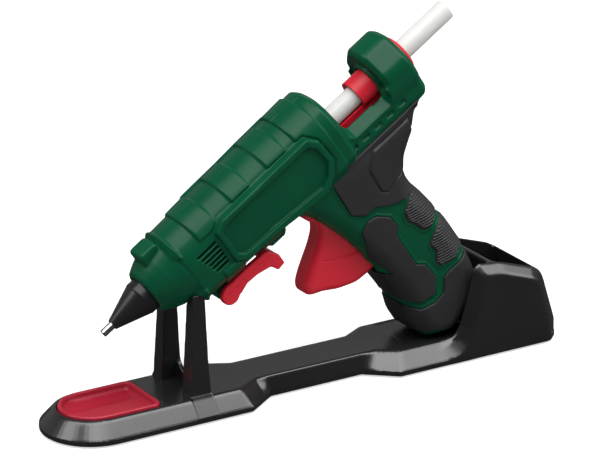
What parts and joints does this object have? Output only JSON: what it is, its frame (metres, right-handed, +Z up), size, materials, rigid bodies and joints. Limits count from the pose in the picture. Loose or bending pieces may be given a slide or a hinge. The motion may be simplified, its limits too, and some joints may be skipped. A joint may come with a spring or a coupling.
{
  "type": "glue gun",
  "caption": "Pistol-grip hot-melt glue gun held nose-down on a desk stand with drip tray, nozzle fork and open caddy; squeeze trigger, feed carriage and fold-out kickstand.",
  "frame": {"origin": "on the floor, under the middle of the stand's length and width", "axes": "+X from the drip tray towards the caddy, +Y across the stand to the side with the screw heads, +Z up"},
  "size_m": [0.296, 0.0568, 0.1911],
  "materials": {
    "stand_black": "moulded black ABS, satin",
    "foot_rubber": "moulded rubber",
    "red_silicone": "red heat-proof moulding",
    "green_abs": "fine-textured green glass-filled nylon",
    "soft_grip": "overmoulded soft grip",
    "black_boot": "black heat-proof moulding",
    "plated_tip": "nickel-plated brass",
    "spring_steel": "bright steel",
    "cast_aluminium": "die-cast aluminium",
    "ptc_ceramic": "fired ceramic",
    "orange_silicone": "silicone",
    "mica_board": "mica board",
    "red_pa": "red nylon, satin",
    "black_screw": "black-oxide steel",
    "cream_nylon": "nylon",
    "wire_pvc": "PVC-insulated wire",
    "eva_glue": "translucent EVA glue"
  },
  "bodies": {
    "stand": {"stand_base": "stand_black", "stand_feet": "foot_rubber"},
    "tray": {"drip_tray": "red_silicone"},
    "gun": {"housing_near": "green_abs", "housing_far": "green_abs", "grip_saddle": "soft_grip", "grip_side_panels": "soft_grip", "grip_palm_pads": "soft_grip", "grip_heel_band": "soft_grip", "nozzle_boot": "black_boot", "nozzle_tip": "plated_tip", "valve_ball": "spring_steel", "valve_spring": "spring_steel", "melt_chamber": "cast_aluminium", "heater_ptc": "ptc_ceramic", "heater_clamp": "spring_steel", "thermal_fuse": "ptc_ceramic", "inlet_sleeve": "orange_silicone", "chamber_mounts": "mica_board", "rear_ring": "red_pa", "housing_screws": "black_screw", "trigger_pin": "spring_steel", "trigger_spring": "spring_steel", "kickstand_pin": "spring_steel", "power_inlet": "black_boot", "terminal_block": "cream_nylon", "inner_wires": "wire_pvc"},
    "trigger": {"trigger": "red_pa"},
    "carriage": {"feed_carriage": "red_pa", "stick_clamp": "spring_steel"},
    "stick": {"glue_stick": "eva_glue"},
    "kickstand": {"kickstand": "red_pa"}
  },
  "joints": [
    {"name": "tray_lift", "type": "slide", "parent": "stand", "child": "tray", "axis": [0, 0, 1], "range_m": [0, 0.03]},
    {"name": "gun_lift", "type": "slide", "parent": "stand", "child": "gun", "axis": [0, 0, 1], "range_m": [0, 0.12]},
    {"name": "trigger_squeeze", "type": "hinge", "parent": "gun", "child": "trigger", "pos_m": [0.00558, 0, 0.09397], "axis": [0, -1, 0], "range_deg": [0, 25], "stiffness_Nm_per_rad": 0.6, "springref_deg": -17.19},
    {"name": "carriage_feed", "type": "slide", "parent": "gun", "child": "carriage", "axis": [-0.829, 0, -0.5592], "range_m": [0, 0.0075]},
    {"name": "stick_slide", "type": "slide", "parent": "gun", "child": "stick", "axis": [0.829, 0, 0.5592], "range_m": [-0.008, 0.17]},
    {"name": "kickstand_fold", "type": "hinge", "parent": "gun", "child": "kickstand", "pos_m": [-0.04736, 0, 0.06068], "axis": [0, 1, 0], "range_deg": [0, 100]}
  ],
  "couplings": [
    {"joint": "carriage_feed", "follows": "trigger_squeeze", "m_per_rad": 0.0164}
  ]
}
